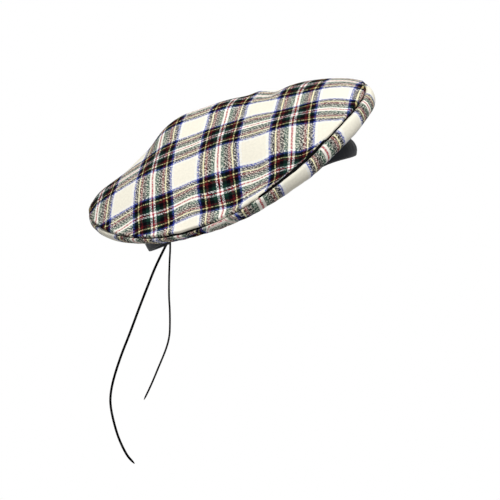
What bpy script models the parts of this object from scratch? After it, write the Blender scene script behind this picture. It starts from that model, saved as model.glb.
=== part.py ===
"""Tam o' shanter in tartan cloth with a leather headband and two tie cords, in its worn form.

Metres, +Z up. The origin is the middle of the headband's lower edge, where the head goes in.
The front of the hat faces -Y and the wearer's left is +X. The cloth and the headband are drawn
in the hat's own frame, which is then tipped so that the front is high; the cords hang freely.
"""

import math
from collections import namedtuple

import bmesh
import bpy
import numpy as np

MM = 0.001
GAP = 0.3 * MM  # clearance between neighbouring pieces

# --- how the hat is worn ---
HAT_PITCH = math.radians(27)  # front up
BAND_ROLL = math.radians(10.5)  # the headband sits lower on the wearer's left

# --- headband, a leather binding round the head opening ---
BAND_HALF_LENGTH = 98.5 * MM  # front to back, outer face
BAND_HALF_WIDTH = 76 * MM  # side to side, outer face
BAND_HEIGHT = 17 * MM
BAND_THICKNESS = 3 * MM
BAND_EDGE_ROUND = 0.9 * MM
FRONT_BULGE = 3.4 * MM  # how far the front of the headband stands out at half its height
FRONT_BULGE_REACH = math.radians(32)
BULGE_HEIGHTS = (0, 0.25, 0.5, 0.7, 1)  # shares of the headband's height
BULGE_SHARES = (0.15, 0.75, 1, 0.8, 0.3)  # of the bulge at those heights
BAND_SEGMENTS = 56
RIDE_UP = 5.4 * MM  # the headband rides up by this much on either side of the front
RIDE_UP_AZIMUTH = math.radians(55)
RIDE_UP_REACH = math.radians(27)
TIE_AZIMUTH = math.radians(152)  # middle of the gap that the cords come out of
TIE_GAP = 13 * MM

# --- cloth ---
CLOTH_THICKNESS = 1.2 * MM
CLOTH_SEGMENTS = 64
CROWN_RINGS = 14
SIDE_RINGS = 14

# Middle of the crown in the hat's frame: to the wearer's left, to the front, above the origin.
CROWN_LEFT = -4 * MM
CROWN_FRONT = 2 * MM
CROWN_HEIGHT = 80 * MM

# Sections of the crown, a row for each direction round the hat, in millimetres. Azimuth 0 is
# the front and 90 the wearer's left. The drops are below the middle of the crown, at a third
# of the way out, at two thirds and at the seam.
CrownSection = namedtuple("CrownSection", "azimuth radius inner_drop middle_drop seam_drop")
CROWN_SECTIONS = [
    CrownSection(0, 130, 7, 13, 33),
    CrownSection(45, 129, -1, 8, 31),
    CrownSection(90, 119, -8, 11, 41),
    CrownSection(135, 124, -11, 7, 32),
    CrownSection(180, 128, -2, 6, 21),
    CrownSection(225, 127, 8, 23, 43),
    CrownSection(270, 123, 14, 41, 61),
    CrownSection(315, 128, 11, 27, 46),
]
STATIONS = np.array([1 / 3, 2 / 3, 1])  # where the three drops are taken
LOWEST_POWER = (2, 1, 2, 3, 4)  # of the radius, for each harmonic round the crown

# Folds that the worn cloth has taken, in millimetres: the middle of each in the hat's frame,
# the azimuth that it runs along, half its length and width, and how deep it lies.
Fold = namedtuple("Fold", "left front heading length width depth")
CROWN_FOLDS = [
    Fold(-108, 55, 16, 40, 8, 2),  # hollow beside the seam, right of the front
    Fold(-116, -12, -8, 24, 10, -2),  # cloth hanging out over the seam, right side
    Fold(8, -62, 90, 45, 13, 2.5),  # dip behind the top of the head
    Fold(30, 52, 50, 45, 13, 2.5),  # ripple in front of the top of the head
    Fold(5, -92, 90, 60, 24, 3.3),  # sunken cloth above the back seam
    Fold(31, -10, 90, 45, 15, 2.2),  # sag on top, just behind the middle
    Fold(45, 30, 90, 40, 9, 1.5),  # two dents one in front of the other, left of the top
    Fold(50, 53, 90, 40, 9, 3),
]

# Sections of the side panel, in millimetres: the height of its face from the seam down to the
# fold, how far the face swells out half way, and how far the fold lies outside the seam.
SideSection = namedtuple("SideSection", "azimuth face swell lean")
SIDE_SECTIONS = [
    SideSection(0, 14, 3, 0),
    SideSection(45, 16, 3, 1),
    SideSection(90, 16, 3, 0),
    SideSection(135, 15, 3, -1),
    SideSection(180, 15, 2, -1),
    SideSection(225, 10, 2, -5),
    SideSection(270, 7.5, 2, -4),
    SideSection(315, 13.5, 3, 0),
]
FOLD_ROUND = 2.5 * MM
THROAT_RISE = 5 * MM  # the gathered cloth flares out this far above the headband
THROAT_OUT = 2 * MM

# --- tie cords, hanging from the gap in the headband ---
LONG_CORD_DIAMETER = 2.2 * MM
SHORT_CORD_DIAMETER = 1.7 * MM
CORD_POINT_SPACING = 5 * MM

# Points along each cord, from the headband to the free end, in millimetres.
RoutePoint = namedtuple("RoutePoint", "x y z")
LONG_ROUTE = [
    RoutePoint(40.7, 73.5, -36.3),
    RoutePoint(38.9, 75.3, -36.9),
    RoutePoint(37.7, 77.3, -39.2),
    RoutePoint(37.4, 79.4, -43.5),
    RoutePoint(37.6, 83.2, -51),
    RoutePoint(38, 91.8, -69),
    RoutePoint(38, 99.4, -88),
    RoutePoint(38, 106.4, -106),
    RoutePoint(38, 115.7, -131),
    RoutePoint(38, 124.2, -153),
    RoutePoint(38, 131, -174),
    RoutePoint(38, 134.3, -190),
    RoutePoint(38, 134.2, -203),
    RoutePoint(38, 130.8, -220),
    RoutePoint(38, 126.4, -234),
    RoutePoint(38, 120.1, -247),
    RoutePoint(38, 113.3, -255),
]
SHORT_ROUTE = [
    RoutePoint(31.3, 80.4, -37.8),
    RoutePoint(33, 79.5, -38.2),
    RoutePoint(34.3, 78.5, -40.2),
    RoutePoint(34.7, 77.8, -44),
    RoutePoint(34.4, 77.8, -52),
    RoutePoint(34, 78.4, -64),
    RoutePoint(34, 79, -80),
    RoutePoint(34, 79.1, -95),
    RoutePoint(34, 78.6, -107),
    RoutePoint(34, 78.6, -121),
    RoutePoint(34, 79.4, -132),
    RoutePoint(34, 82.6, -144),
    RoutePoint(34, 89.8, -162),
    RoutePoint(34, 96.4, -178),
    RoutePoint(34, 102.9, -192),
]

TARTAN_GREEN = (0.12, 0.15, 0.13)
LEATHER_BLACK = (0.03, 0.032, 0.036)
CORD_BLACK = (0.012, 0.012, 0.014)


# ---------- the hat's own frame ----------


def hat_point(left, front, up):
    """A point given to the wearer's left, to the front and up, as x, y and z of the frame."""
    return np.stack(np.broadcast_arrays(left, np.negative(front), up), axis=-1)


def column(rows, name):
    return np.array([getattr(row, name) for row in rows]) * MM


def round_the_hat(count):
    return np.arange(count) * 2 * math.pi / count


def periodic(values, azimuth):
    """A smooth closed curve through equally spaced values round the hat."""
    harmonics = np.fft.rfft(values) / len(values)
    last = len(harmonics) - 1
    curve = harmonics[0].real + harmonics[last].real * np.cos(last * azimuth)
    for n in range(1, last):
        curve = curve + 2 * (harmonics[n] * np.exp(1j * n * azimuth)).real
    return curve


def smooth_path(knots, shares):
    """Points of a smooth curve through the knots, at shares of the way from 0 to 1."""
    before = 2 * knots[0] - knots[1]
    after = 2 * knots[-1] - knots[-2]
    padded = np.concatenate([before[None], knots, after[None]])
    spans = len(knots) - 1
    points = []
    for share in shares:
        span = min(int(share * spans), spans - 1)
        t = share * spans - span
        a, b, c, d = padded[span : span + 4]
        bend = 2 * a - 5 * b + 4 * c - d
        twist = 3 * (b - c) + d - a
        points.append(b + 0.5 * ((c - a) * t + bend * t**2 + twist * t**3))
    return np.stack(points)


# ---------- crown ----------


def crown_drop(reach, azimuth):
    """Depth below the middle of the crown, at a share of the radius from 0 to 1."""
    names = ("inner_drop", "middle_drop", "seam_drop")
    table = np.stack([column(CROWN_SECTIONS, name) for name in names], axis=1)
    harmonics = np.fft.rfft(table, axis=0) / len(table)
    drop = np.zeros_like(reach)
    for n, (harmonic, lowest) in enumerate(zip(harmonics, LOWEST_POWER)):
        powers = lowest + np.arange(len(STATIONS))
        factors = np.linalg.solve(STATIONS[:, None] ** powers, harmonic)
        curve = sum(factor * reach**power for factor, power in zip(factors, powers))
        share = 1 if n in (0, len(harmonics) - 1) else 2
        drop = drop + share * (curve * np.exp(1j * n * azimuth)).real
    return drop


def fold_depth(left, front):
    depth = np.zeros_like(left)
    for fold in CROWN_FOLDS:
        heading = math.radians(fold.heading)
        from_left = left - fold.left * MM
        from_front = front - fold.front * MM
        along = from_left * math.sin(heading) + from_front * math.cos(heading)
        across = from_left * math.cos(heading) - from_front * math.sin(heading)
        fade = (along / (fold.length * MM)) ** 2 + (across / (fold.width * MM)) ** 2
        depth = depth + fold.depth * MM * np.exp(-fade)
    return depth


def crown_point(reach, azimuth):
    radius = reach * periodic(column(CROWN_SECTIONS, "radius"), azimuth)
    left = CROWN_LEFT + radius * np.sin(azimuth)
    front = CROWN_FRONT + radius * np.cos(azimuth)
    drop = crown_drop(reach, azimuth) + fold_depth(left, front)
    return hat_point(left, front, CROWN_HEIGHT - drop)


# ---------- headband ----------


def ride_up(azimuth):
    rise = 0
    for middle in (RIDE_UP_AZIMUTH, -RIDE_UP_AZIMUTH):
        apart = (azimuth - middle + math.pi) % (2 * math.pi) - math.pi
        rise = rise + RIDE_UP * np.exp(-((apart / RIDE_UP_REACH) ** 2))
    return rise


def band_point(outward, up, azimuth):
    """A point of the headband before its roll, outward from its outer face."""
    left = (BAND_HALF_WIDTH + outward) * np.sin(azimuth)
    front = (BAND_HALF_LENGTH + outward) * np.cos(azimuth)
    return hat_point(left, front, up + ride_up(azimuth))


def rolled(points):
    """The headband's roll about the hat's front-to-back axis."""
    x, y, z = np.moveaxis(points, -1, 0)
    cos, sin = math.cos(BAND_ROLL), math.sin(BAND_ROLL)
    return np.stack([x * cos + z * sin, y, z * cos - x * sin], axis=-1)


def tie_gap_angle():
    """Half of the gap between the headband's ends, as an angle."""
    speed = math.hypot(BAND_HALF_WIDTH * math.cos(TIE_AZIMUTH),
                       BAND_HALF_LENGTH * math.sin(TIE_AZIMUTH))
    return 0.5 * TIE_GAP / speed


# ---------- side panel ----------


def side_rings(azimuth, shares):
    """The outside of the side panel: from the seam down the face, round the fold and in to
    the top of the headband. Indexed by share, then by azimuth."""
    face = periodic(column(SIDE_SECTIONS, "face"), azimuth)
    swell = periodic(column(SIDE_SECTIONS, "swell"), azimuth)
    lean = periodic(column(SIDE_SECTIONS, "lean"), azimuth)
    outward = hat_point(np.sin(azimuth), np.cos(azimuth), 0)
    upward = hat_point(0, 0, 1)
    seam = crown_point(np.ones_like(azimuth), azimuth) - (CLOTH_THICKNESS + 2 * GAP) * upward

    def on_face(out, down):
        return seam + out[:, None] * outward - down[:, None] * upward

    fold = on_face(lean - FOLD_ROUND, face)
    inset = 0.5 * (BAND_THICKNESS - CLOTH_THICKNESS)
    throat = rolled(band_point(THROAT_OUT, BAND_HEIGHT + THROAT_RISE, azimuth))
    edge = rolled(band_point(-inset, BAND_HEIGHT + GAP, azimuth))
    knots = np.stack([
        seam,
        on_face(0.5 * lean + swell, 0.45 * face),
        on_face(lean + 0.4 * swell, face - 0.8 * FOLD_ROUND),
        fold,
        fold + 0.45 * (throat - fold) - 0.4 * FOLD_ROUND * upward,
        throat,
        edge,
    ])
    return smooth_path(knots, shares)


# ---------- cords ----------


def cord_points(route):
    """Evenly spaced points on a smooth curve through the route's own points."""
    knots = np.array(route, dtype=float) * MM
    fine = smooth_path(knots, np.linspace(0, 1, 20 * len(knots)))
    steps = np.linalg.norm(np.diff(fine, axis=0), axis=1)
    walked = np.concatenate([[0], np.cumsum(steps)])
    count = round(walked[-1] / CORD_POINT_SPACING) + 1
    even = np.linspace(0, walked[-1], count)
    return np.stack([np.interp(even, walked, line) for line in fine.T], axis=1)


# ---------- modelling tools ----------


def clear_scene():
    for item in list(bpy.data.objects):
        bpy.data.objects.remove(item, do_unlink=True)


def plain_material(name, colour, roughness):
    material = bpy.data.materials.new(name)
    material.use_nodes = True
    shader = material.node_tree.nodes["Principled BSDF"]
    shader.inputs["Base Color"].default_value = (*colour, 1)
    shader.inputs["Roughness"].default_value = roughness
    shader.inputs["Metallic"].default_value = 0
    return material


def add_object(name, data, material, parent=None):
    item = bpy.data.objects.new(name, data)
    bpy.context.scene.collection.objects.link(item)
    data.materials.append(material)
    item.parent = parent
    return item


def extrude_ring(mesh, ring):
    """A further ring of vertices beside the given one, in the same order."""
    edges = [mesh.edges.get(pair) for pair in zip(ring, ring[1:] + ring[:1])]
    made = bmesh.ops.extrude_edge_only(mesh, edges=edges)["geom"]
    new = {item for item in made if isinstance(item, bmesh.types.BMVert)}
    ends = [[edge.other_vert(vertex) for edge in vertex.link_edges] for vertex in ring]
    return [next(end for end in group if end in new) for group in ends]


def loft(sections):
    """A skin extruded through closed sections of points; also gives its rings of vertices."""
    mesh = bmesh.new()
    ring = [mesh.verts.new(point) for point in sections[0]]
    for pair in zip(ring, ring[1:] + ring[:1]):
        mesh.edges.new(pair)
    rings = [ring]
    for section in sections[1:]:
        ring = extrude_ring(mesh, ring)
        for vertex, point in zip(ring, section):
            vertex.co = point
        rings.append(ring)
    return mesh, rings


def mesh_data(mesh, name):
    data = bpy.data.meshes.new(name)
    mesh.to_mesh(data)
    mesh.free()
    return data


def add_wall(item):
    """Gives a cloth surface its thickness, inwards from the side drawn."""
    wall = item.modifiers.new("wall", "SOLIDIFY")
    wall.thickness = CLOTH_THICKNESS
    wall.offset = -1
    wall.use_even_offset = True


# ---------- the pieces ----------


def make_crown(tilt, material):
    azimuth = round_the_hat(CLOTH_SEGMENTS)
    reaches = np.linspace(1, 0, CROWN_RINGS, endpoint=False)
    sections = [crown_point(np.full_like(azimuth, reach), azimuth) for reach in reaches]
    mesh, rings = loft(sections)
    cap = mesh.faces.new(rings[-1])
    middle = bmesh.ops.poke(mesh, faces=[cap])["verts"][0]
    middle.co = crown_point(np.zeros(1), np.zeros(1))[0]
    bmesh.ops.recalc_face_normals(mesh, faces=mesh.faces)
    if middle.normal.z < 0:
        bmesh.ops.reverse_faces(mesh, faces=mesh.faces)
    data = mesh_data(mesh, "crown_panel")
    data.shade_smooth()
    add_wall(add_object("crown_panel", data, material, tilt))


def make_side(tilt, material):
    azimuth = round_the_hat(CLOTH_SEGMENTS)
    mesh, rings = loft(side_rings(azimuth, np.linspace(0, 1, SIDE_RINGS)))
    bmesh.ops.recalc_face_normals(mesh, faces=mesh.faces)
    front = rings[1][0]
    if front.normal.y > 0:
        bmesh.ops.reverse_faces(mesh, faces=mesh.faces)
    data = mesh_data(mesh, "side_panel")
    data.shade_smooth()
    add_wall(add_object("side_panel", data, material, tilt))


def make_headband(tilt, material):
    """A strip round the head with rounded edges, open at the back for the cords."""
    start = TIE_AZIMUTH + tie_gap_angle()
    azimuths = np.linspace(start, start + 2 * (math.pi - tie_gap_angle()), BAND_SEGMENTS + 1)
    soft = BAND_EDGE_ROUND
    outline = np.array([
        (-soft, 0),
        (0, soft),
        (0, 0.5 * BAND_HEIGHT),
        (0, BAND_HEIGHT - soft),
        (-soft, BAND_HEIGHT),
        (soft - BAND_THICKNESS, BAND_HEIGHT),
        (-BAND_THICKNESS, BAND_HEIGHT - soft),
        (-BAND_THICKNESS, 0.5 * BAND_HEIGHT),
        (-BAND_THICKNESS, soft),
        (soft - BAND_THICKNESS, 0),
    ])
    up = outline[:, 1]
    shares = np.interp(up / BAND_HEIGHT, BULGE_HEIGHTS, BULGE_SHARES)
    sections = []
    for angle in azimuths:
        from_front = (angle + math.pi) % (2 * math.pi) - math.pi
        bulge = FRONT_BULGE * math.exp(-((from_front / FRONT_BULGE_REACH) ** 2))
        sections.append(band_point(outline[:, 0] + bulge * shares, up, angle))
    mesh, rings = loft(sections)
    for ring in (rings[0], rings[-1]):
        mesh.faces.new(ring)
    bmesh.ops.recalc_face_normals(mesh, faces=mesh.faces)
    data = mesh_data(mesh, "headband")
    data.shade_smooth()
    data.set_sharp_from_angle(angle=math.radians(50))
    band = add_object("headband", data, material, tilt)
    band.rotation_euler = (0, BAND_ROLL, 0)


def make_cord(name, route, diameter, material):
    curve = bpy.data.curves.new(name, "CURVE")
    curve.dimensions = "3D"
    curve.bevel_depth = 0.5 * diameter
    curve.bevel_resolution = 2
    curve.use_fill_caps = True
    points = cord_points(route)
    spline = curve.splines.new("POLY")
    spline.points.add(len(points) - 1)
    for place, point in zip(spline.points, points):
        place.co = (*point, 1)
    add_object(name, curve, material)


def main():
    clear_scene()
    cloth = plain_material("tartan_cloth", TARTAN_GREEN, 0.9)
    leather = plain_material("black_leather", LEATHER_BLACK, 0.45)
    lace = plain_material("black_cord", CORD_BLACK, 0.6)
    tilt = bpy.data.objects.new("worn_tilt", None)
    bpy.context.scene.collection.objects.link(tilt)
    tilt.rotation_euler = (-HAT_PITCH, 0, 0)
    make_crown(tilt, cloth)
    make_side(tilt, cloth.copy())
    make_headband(tilt, leather)
    make_cord("cord_long", LONG_ROUTE, LONG_CORD_DIAMETER, lace)
    make_cord("cord_short", SHORT_ROUTE, SHORT_CORD_DIAMETER, lace.copy())


main()
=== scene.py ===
"""The finished look of a tartan tam o' shanter with a leather headband and two tie cords.

Metres, +Z up, the front of the hat faces -Y. The cloth and the headband are drawn in the hat's
own frame and then tipped as the hat is worn.
"""

import math
from collections import namedtuple

import bmesh
import bpy
import numpy as np
from mathutils import Matrix, Vector, noise


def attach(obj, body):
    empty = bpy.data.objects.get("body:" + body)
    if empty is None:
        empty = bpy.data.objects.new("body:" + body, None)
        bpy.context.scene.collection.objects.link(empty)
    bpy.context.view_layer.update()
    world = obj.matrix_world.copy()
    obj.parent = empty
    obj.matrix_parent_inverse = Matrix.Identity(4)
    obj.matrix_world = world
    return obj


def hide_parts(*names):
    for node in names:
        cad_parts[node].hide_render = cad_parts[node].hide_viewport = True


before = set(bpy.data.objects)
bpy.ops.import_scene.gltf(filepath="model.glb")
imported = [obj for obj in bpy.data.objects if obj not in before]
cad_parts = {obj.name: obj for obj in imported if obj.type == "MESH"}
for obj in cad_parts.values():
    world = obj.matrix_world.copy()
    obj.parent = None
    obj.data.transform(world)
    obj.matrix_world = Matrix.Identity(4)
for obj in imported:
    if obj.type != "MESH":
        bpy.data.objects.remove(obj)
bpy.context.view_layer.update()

MM = 0.001

# --- how the hat is worn ---
HAT_PITCH = math.radians(27)  # front up
BAND_ROLL = math.radians(10.5)  # the headband sits lower on the wearer's left

# --- headband, in millimetres ---
BAND_HALF_LENGTH = 98.5
BAND_HALF_WIDTH = 76
BAND_HEIGHT = 17
BAND_THICKNESS = 3
RIDE_UP = 5.4  # how much higher it sits on either side of the front
RIDE_UP_AZIMUTH = 55  # in degrees
RIDE_UP_REACH = 27
TIE_AZIMUTH = math.radians(152)  # middle of the gap that the cords come out of
TIE_GAP = 13

# --- crown and side panel, in millimetres ---
CLOTH_THICKNESS = 1.2
CROWN_LEFT = -4
CROWN_FRONT = 2
CROWN_HEIGHT = 80

# Drops below the middle of the crown, at a third of the way out, at two thirds and at the seam.
# Azimuth 0 is the front and 90 the wearer's left. A separate program fitted these rows to
# points read from the photograph, and they were rounded to whole millimetres.
CrownSection = namedtuple("CrownSection", "azimuth radius inner_drop middle_drop seam_drop")
CROWN_SECTIONS = [
    CrownSection(0, 130, 7, 13, 33),
    CrownSection(45, 129, -1, 8, 31),
    CrownSection(90, 119, -8, 11, 41),
    CrownSection(135, 124, -11, 7, 32),
    CrownSection(180, 128, -2, 6, 21),
    CrownSection(225, 127, 8, 23, 43),
    CrownSection(270, 123, 14, 41, 61),
    CrownSection(315, 128, 11, 27, 46),
]
STATIONS = np.array([1 / 3, 2 / 3, 1])  # where the three drops are taken
LOWEST_POWER = (2, 1, 2, 3, 4)  # of the radius, for each harmonic round the crown

# The middle of each fold, the azimuth it runs along, half its length and width, and its depth,
# which is below 0 where the cloth stands out.
Fold = namedtuple("Fold", "left front heading length width depth")
CROWN_FOLDS = [
    Fold(-108, 55, 16, 40, 8, 2),
    Fold(-116, -12, -8, 24, 10, -2),
    Fold(8, -62, 90, 45, 13, 2.5),
    Fold(30, 52, 50, 45, 13, 2.5),
    Fold(5, -92, 90, 60, 24, 3.3),
    Fold(31, -10, 90, 45, 15, 2.2),
    Fold(45, 30, 90, 40, 9, 1.5),
    Fold(50, 53, 90, 40, 9, 3),
]

# The face's height from the seam to the fold, how far it swells out half way, and how far the
# fold lies outside the seam. In the rows at 0 and from 180 to 315, a separate program fitted the
# height and the last value to points read from the photograph. They were rounded, and some were
# changed.
SideSection = namedtuple("SideSection", "azimuth face swell lean")
SIDE_SECTIONS = [
    SideSection(0, 14, 3, 0),
    SideSection(45, 16, 3, 1),
    SideSection(90, 16, 3, 0),
    SideSection(135, 15, 3, -1),
    SideSection(180, 15, 2, -1),
    SideSection(225, 10, 2, -5),
    SideSection(270, 7.5, 2, -4),
    SideSection(315, 13.5, 3, 0),
]
FOLD_ROUND = 2.5
SEAM_DROP = 1.8  # from the crown's rim down to the top of the side panel
THROAT_RISE = 5  # how far above the headband the gathered cloth has come outwards
THROAT_OUT = 2

# --- the tartan ---
REPEAT = 65.7  # millimetres of cloth from one group of stripes to the next
CROWN_TURN = math.radians(7.2)  # the warp against the hat's front
CROWN_ALONG = -14.8  # middle of the crown from the nearest crossing of two groups
CROWN_ACROSS = 37.0
CROWN_SPAN = 300  # millimetres of cloth in the crown's whole map
STRIP_SPAN = 800
STRIP_CROSSING = (0.03, 0.2)  # where the strip's crossing of two groups lies in its map
STRIP_LINE_DEPTH = 35  # a group of stripes runs round the strip this far below its lip
CROWN_WARP_SHARE = 0.50
STRIP_WARP_SHARE = 0.57

# Where the worn cloth has slipped, in millimetres: a place on the crown, how far about it the
# slip reaches, and how much further on the pattern is there, along and across. A separate
# program fitted these rows to the photograph, and they are its results as they came.
ClothPull = namedtuple("ClothPull", "left front reach along across")
CLOTH_PULLS = [
    ClothPull(-20, -100, 45, -3.4, -7.1),
    ClothPull(-70, -10, 30, 3.5, -2.0),
    ClothPull(-90, 90, 45, -0.5, -1.3),
    ClothPull(-50, 0, 22, -0.8, -6.8),
    ClothPull(10, 30, 22, 3.2, -5.0),
    ClothPull(-90, -70, 16, 1.8, -5.0),
    ClothPull(-10, 90, 30, 1.7, 3.9),
    ClothPull(-90, 80, 16, -0.1, 5.3),
    ClothPull(-40, -60, 22, -0.5, -5.6),
    ClothPull(-90, 40, 12, -0.9, 3.0),
    ClothPull(-30, 70, 22, -1.9, 6.3),
    ClothPull(-120, 10, 16, -3.8, 4.7),
    ClothPull(-10, -30, 30, -2.7, 0.6),
    ClothPull(-40, -120, 45, -5.7, -1.7),
    ClothPull(-120, 50, 16, 1.5, -8.4),
    ClothPull(30, 0, 22, -4.7, -1.5),
    ClothPull(20, 40, 30, 2.4, -8.1),
    ClothPull(-60, 70, 22, 0.4, -3.9),
    ClothPull(-60, 20, 16, 1.2, -2.8),
    ClothPull(-90, -20, 12, 1.3, -2.3),
    ClothPull(-50, -30, 16, -1.0, -2.1),
    ClothPull(-100, 90, 60, -3.0, -4.6),
    ClothPull(-70, 100, 16, 0.6, -2.6),
    ClothPull(-100, -30, 12, 0.7, -2.7),
]

# Where the strip's stripe groups fall, from its joining seam round: azimuth and repeats.
StripMark = namedtuple("StripMark", "azimuth repeats")
STRIP_MARKS = [
    StripMark(241, -0.32),
    StripMark(251, 0),
    StripMark(285.8, 1),
    StripMark(315.8, 2),
    StripMark(331.9, 2.5),
    StripMark(348.5, 3),
    StripMark(357.5, 3.31),
    StripMark(554, 8.92),
    StripMark(591, 10),
    StripMark(601, 10.3),
]

# Points along each cord, from the headband to the free end: x, y and z in millimetres. Those
# that show in the photograph were picked there by hand, and a separate program turned them into
# millimetres.
LONG_ROUTE = [
    (40.7, 73.5, -36.3),
    (38.9, 75.3, -36.9),
    (37.7, 77.3, -39.2),
    (37.4, 79.4, -43.5),
    (37.6, 83.2, -51),
    (38, 91.8, -69),
    (38, 99.4, -88),
    (38, 106.4, -106),
    (38, 115.7, -131),
    (38, 124.2, -153),
    (38, 131, -174),
    (38, 134.3, -190),
    (38, 134.2, -203),
    (38, 130.8, -220),
    (38, 126.4, -234),
    (38, 120.1, -247),
    (38, 113.3, -255),
]
SHORT_ROUTE = [
    (31.3, 80.4, -37.8),
    (33, 79.5, -38.2),
    (34.3, 78.5, -40.2),
    (34.7, 77.8, -44),
    (34.4, 77.8, -52),
    (34, 78.4, -64),
    (34, 79, -80),
    (34, 79.1, -95),
    (34, 78.6, -107),
    (34, 78.6, -121),
    (34, 79.4, -132),
    (34, 82.6, -144),
    (34, 89.8, -162),
    (34, 96.4, -178),
    (34, 102.9, -192),
]
LONG_CORD_DIAMETER = 2.2
SHORT_CORD_DIAMETER = 1.7
CORD_SPACING = 1.6
CORD_SIDES = 12
CORD_SPAN = 300  # millimetres of cord in its whole map
CORD_TIP = (0.97, 0.9, 0.72, 0.35)  # share of the radius at the last points


# ---------- curves and places ----------


def hat_point(left, front, up):
    """A point given to the wearer's left, to the front and up, in the hat's own axes."""
    return np.stack(np.broadcast_arrays(left, np.negative(front), up), axis=-1).astype(float)


def worn(points):
    """From the hat's own axes, in millimetres, to the frame's, in metres."""
    x, y, z = np.moveaxis(points * MM, -1, 0)
    cos, sin = math.cos(HAT_PITCH), math.sin(HAT_PITCH)
    return np.stack([x, y * cos + z * sin, z * cos - y * sin], axis=-1)


def rolled(points):
    """The headband's roll about the hat's front-to-back axis."""
    x, y, z = np.moveaxis(points, -1, 0)
    cos, sin = math.cos(BAND_ROLL), math.sin(BAND_ROLL)
    return np.stack([x * cos + z * sin, y, z * cos - x * sin], axis=-1)


def column(rows, name):
    return np.array([getattr(row, name) for row in rows], float)


def periodic(values, azimuth):
    """A smooth closed curve through equally spaced values round the hat."""
    harmonics = np.fft.rfft(values) / len(values)
    last = len(harmonics) - 1
    curve = harmonics[0].real + harmonics[last].real * np.cos(last * azimuth)
    for n in range(1, last):
        curve = curve + 2 * (harmonics[n] * np.exp(1j * n * azimuth)).real
    return curve


def bump(azimuth, middle, width):
    """A soft rise at one place round the hat, both in degrees."""
    apart = (np.degrees(azimuth) - middle + 180) % 360 - 180
    return np.exp(-((apart / width) ** 2))


def smooth_step(low, high, value):
    t = np.clip((value - low) / (high - low), 0, 1)
    return t * t * (3 - 2 * t)


def uneven(points, size, seed):
    """Smooth irregular values from -1 to 1 at the points, with swells of about that size."""
    flat = np.reshape(points, (-1, 3)) / size + seed * 17.3
    values = [noise.noise(Vector(point)) for point in flat]
    return np.reshape(values, np.shape(points)[:-1])


def uneven_round(azimuth, count, seed):
    """Irregular values round the hat with about that many swells."""
    radius = count / (2 * math.pi) * 1.3
    ring = np.stack([radius * np.cos(azimuth), radius * np.sin(azimuth), 0 * azimuth], axis=-1)
    return uneven(ring, size=1, seed=seed)


def flowing(knots, steps):
    """Points of a smooth curve through the knots, a number of steps for each span, with the
    knots' own spacing taken into account."""
    lengths = np.linalg.norm(np.diff(knots, axis=0), axis=-1)
    spans = lengths.reshape(len(lengths), -1).mean(axis=1)
    slopes = np.diff(knots, axis=0) / spans.reshape(-1, *[1] * (knots.ndim - 1))
    tangents = [slopes[0]]
    for n in range(1, len(spans)):
        before, after = spans[n - 1], spans[n]
        tangents.append((slopes[n - 1] * after + slopes[n] * before) / (before + after))
    tangents.append(slopes[-1])
    points = []
    for n, count in enumerate(steps):
        for t in np.arange(count) / count:
            a = 2 * t**3 - 3 * t**2 + 1
            b = t**3 - 2 * t**2 + t
            c = 3 * t**2 - 2 * t**3
            d = t**3 - t**2
            curve = a * knots[n] + c * knots[n + 1]
            points.append(curve + spans[n] * (b * tangents[n] + d * tangents[n + 1]))
    points.append(knots[-1])
    return np.stack(points)


def walked_along(line):
    """The distance walked along a line of points, at each of them."""
    return np.concatenate([[0], np.cumsum(np.linalg.norm(np.diff(line, axis=0), axis=1))])


FINE_STEPS = 20  # for each span of a curve before it is spaced evenly


def even_line(knots, spacing):
    """Evenly spaced points on a smooth curve through the knots, and the curve's length."""
    knots = np.array(knots, float)
    padded = np.concatenate([[2 * knots[0] - knots[1]], knots, [2 * knots[-1] - knots[-2]]])
    fine = []
    for n in range(len(knots) - 1):
        a, b, c, d = padded[n : n + 4]
        for t in np.arange(FINE_STEPS) / FINE_STEPS:
            bend = 2 * a - 5 * b + 4 * c - d
            twist = 3 * (b - c) + d - a
            fine.append(b + 0.5 * ((c - a) * t + bend * t**2 + twist * t**3))
    fine = np.array([*fine, knots[-1]])
    walked = walked_along(fine)
    even = np.linspace(0, walked[-1], round(walked[-1] / spacing) + 1)
    return np.stack([np.interp(even, walked, line) for line in fine.T], axis=1), walked[-1]


# ---------- mesh tools ----------


def placed(name, data):
    item = bpy.data.objects.new(name, data)
    bpy.context.scene.collection.objects.link(item)
    return item


def finished(name, mesh, material):
    data = bpy.data.meshes.new(name)
    mesh.to_mesh(data)
    mesh.free()
    data.materials.append(material)
    data.shade_smooth()
    return placed(name, data)


def numbers_of(items, name):
    values = np.empty(len(items), int)
    items.foreach_get(name, values)
    return values


def map_cloth(item, places, turn=0):
    """Writes each vertex's place on the flat cloth into the piece's map. turn is what the
    first axis gains once round, for the faces where the strip's two ends meet."""
    data = item.data
    spots = places[numbers_of(data.loops, "vertex_index")]
    if turn:
        starts = numbers_of(data.polygons, "loop_start")
        face = np.repeat(np.arange(len(starts)), numbers_of(data.polygons, "loop_total"))
        highest = np.maximum.reduceat(spots[:, 0], starts)[face]
        spots[:, 0] += np.where(highest - spots[:, 0] > 0.5 * turn, turn, 0)
    layer = data.uv_layers.new(name="cloth")
    layer.uv.foreach_set("vector", spots.astype(np.float32).ravel())


def wall(item, thickness):
    """Gives a cloth surface its thickness, inwards from the side drawn."""
    solid = item.modifiers.new("wall", "SOLIDIFY")
    solid.thickness = thickness
    solid.offset = -1


def face_outwards(mesh, vertex, outward):
    """Turns a surface drawn in the hat's axes so that it faces outwards at the vertex."""
    bmesh.ops.recalc_face_normals(mesh, faces=mesh.faces)
    if vertex.normal.dot(Vector(worn(outward))) < 0:
        bmesh.ops.reverse_faces(mesh, faces=mesh.faces)


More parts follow.
